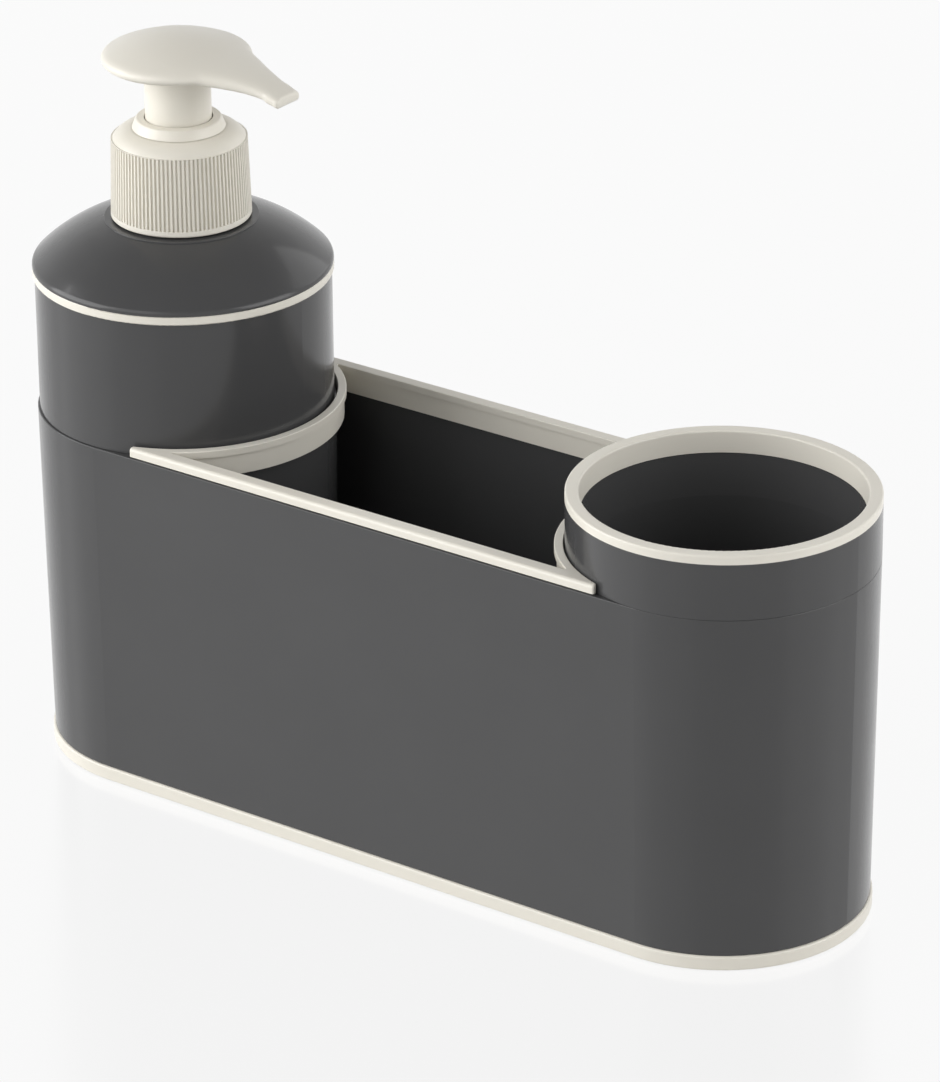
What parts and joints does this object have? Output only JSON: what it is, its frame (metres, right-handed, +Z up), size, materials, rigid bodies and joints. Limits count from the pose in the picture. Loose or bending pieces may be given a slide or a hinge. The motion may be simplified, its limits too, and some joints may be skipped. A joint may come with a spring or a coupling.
{
  "type": "soap pump caddy",
  "caption": "Stadium-shaped sink caddy with a lift-out lotion-pump bottle, an open sponge compartment and a lift-out beaker.",
  "frame": {"origin": "middle of the underside, half-way between the bottle's and the beaker's axes", "axes": "+Z up, +X from the bottle to the beaker, +Y to the back"},
  "size_m": [0.227, 0.072, 0.1812],
  "materials": {
    "anthracite_plastic": "glossy moulded anthracite",
    "cream_plastic": "satin moulded cream",
    "natural_plastic": "natural translucent polypropylene",
    "seal_rubber": "soft white seal",
    "steel": "drawn steel"
  },
  "bodies": {
    "housing": {"outer_shell": "anthracite_plastic", "base_plate": "cream_plastic", "compartment_trim": "cream_plastic"},
    "bottle": {"bottle_body": "anthracite_plastic", "bottle_band": "cream_plastic", "bottle_shoulder": "anthracite_plastic"},
    "pump": {"pump_cylinder": "natural_plastic", "stem_guide": "cream_plastic", "pump_gasket": "seal_rubber", "dip_tube": "natural_plastic", "valve_cage": "natural_plastic", "return_spring": "steel"},
    "collar": {"pump_collar": "cream_plastic"},
    "plunger": {"piston": "natural_plastic"},
    "head": {"pump_head": "cream_plastic", "stem": "natural_plastic", "stem_cap": "natural_plastic"},
    "inlet_ball": {"inlet_ball": "steel"},
    "outlet_ball": {"outlet_ball": "steel"},
    "cup": {"cup_body": "anthracite_plastic", "cup_rim": "cream_plastic"}
  },
  "joints": [
    {"name": "bottle_lift", "type": "slide", "parent": "housing", "child": "bottle", "axis": [0, 0, 1], "range_m": [0, 0.1]},
    {"name": "cup_lift", "type": "slide", "parent": "housing", "child": "cup", "axis": [0, 0, 1], "range_m": [0, 0.1]},
    {"name": "pump_rise", "type": "slide", "parent": "bottle", "child": "pump", "axis": [0, 0, 1], "range_m": [0, 0.00751]},
    {"name": "collar_turn", "type": "hinge", "parent": "pump", "child": "collar", "pos_m": [-0.0775, 0, 0], "axis": [0, 0, 1], "range_deg": [0, 630]},
    {"name": "head_press", "type": "slide", "parent": "pump", "child": "plunger", "axis": [0, 0, -1], "range_m": [0, 0.013], "stiffness_N_per_m": 500, "springref_m": -0.012, "deforming": ["return_spring"]},
    {"name": "head_swivel", "type": "hinge", "parent": "plunger", "child": "head", "pos_m": [-0.0775, 0, 0], "axis": [0, 0, 1], "continuous": true},
    {"name": "inlet_valve", "type": "slide", "parent": "pump", "child": "inlet_ball", "axis": [0, 0, 1], "range_m": [0, 0.0015]},
    {"name": "outlet_valve", "type": "slide", "parent": "head", "child": "outlet_ball", "axis": [0, 0, 1], "range_m": [0, 0.0012]}
  ],
  "couplings": [
    {"joint": "pump_rise", "follows": "collar_turn", "m_per_rad": 0.0006737}
  ]
}
